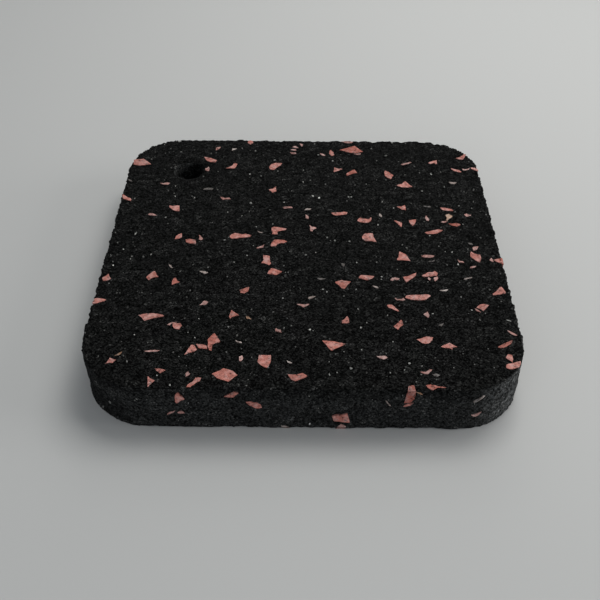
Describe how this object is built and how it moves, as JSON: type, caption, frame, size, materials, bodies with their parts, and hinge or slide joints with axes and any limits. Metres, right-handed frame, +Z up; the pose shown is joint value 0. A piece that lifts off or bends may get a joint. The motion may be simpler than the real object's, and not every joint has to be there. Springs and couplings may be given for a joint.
{
  "type": "rubber floor tile sample",
  "caption": "Hand-sample rubber gym floor tile: square slab of bonded black crumb with terracotta flecks, rounded corners and a round hanging hole near one corner.",
  "frame": {"origin": "middle of the underside's bounding rectangle, on the floor plane", "axes": "+Z up through the thickness, +X to the right and +Y to the back, with the hanging hole near the back left corner"},
  "size_m": [0.1, 0.1, 0.0127],
  "materials": {
    "crumb_rubber": "matt black bonded crumb, sliced flat, with small open pores between the granules",
    "fleck_rubber": "matt terracotta granules, sliced flush with the crumb around them",
    "pale_grit": "matt pale grey bits, under a millimetre across, between the black granules"
  },
  "bodies": {
    "root": {"tile": "crumb_rubber"}
  },
  "joints": []
}
